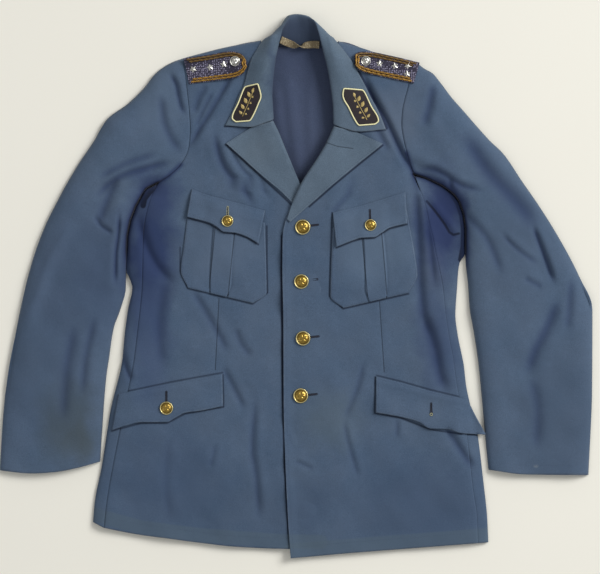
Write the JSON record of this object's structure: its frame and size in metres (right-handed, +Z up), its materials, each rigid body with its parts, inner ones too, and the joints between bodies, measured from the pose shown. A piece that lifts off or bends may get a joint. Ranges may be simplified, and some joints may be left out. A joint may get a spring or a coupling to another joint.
{
  "type": "uniform jacket",
  "caption": "Railway uniform jacket laid flat: notched collar, scalloped flap pockets, shoulder boards, brass buttons and open hem, cuffs and neck.",
  "frame": {"origin": "middle of the jacket's outline, on the surface it lies on", "axes": "+Z up out of the front, +Y from hem to collar, +X to the wearer's left sleeve"},
  "size_m": [0.8887, 0.8152, 0.032],
  "materials": {
    "navy_cloth": "faded navy-blue woven uniform cloth",
    "brass": "worn brass",
    "silver": "bright white metal",
    "board_knit": "navy knitted field with gold braid border",
    "patch_felt": "near-black felt with cream piping",
    "tape": "tan woven tape"
  },
  "bodies": {
    "root": {"back": "navy_cloth", "front_right": "navy_cloth", "front_left": "navy_cloth", "side_right": "navy_cloth", "side_left": "navy_cloth", "top_sleeve_right": "navy_cloth", "top_sleeve_left": "navy_cloth", "under_sleeve_right": "navy_cloth", "under_sleeve_left": "navy_cloth", "lapel_right": "navy_cloth", "lapel_left": "navy_cloth", "collar": "navy_cloth", "chest_pocket_right": "navy_cloth", "chest_pocket_left": "navy_cloth", "chest_flap_right": "navy_cloth", "chest_flap_left": "navy_cloth", "hip_flap_right": "navy_cloth", "hip_flap_left": "navy_cloth", "front_button_1": "brass", "front_button_2": "brass", "front_button_3": "brass", "front_button_4": "brass", "chest_button_right": "brass", "chest_button_left": "brass", "hip_button_right": "brass", "board_button_right": "silver", "board_button_left": "silver", "shoulder_board_right": "board_knit", "shoulder_board_left": "board_knit", "star_right_1": "silver", "star_right_2": "silver", "star_right_3": "silver", "star_left_1": "silver", "star_left_2": "silver", "star_left_3": "silver", "star_left_4": "silver", "collar_patch_right": "patch_felt", "collar_patch_left": "patch_felt", "hanger_loop": "tape"}
  },
  "joints": []
}
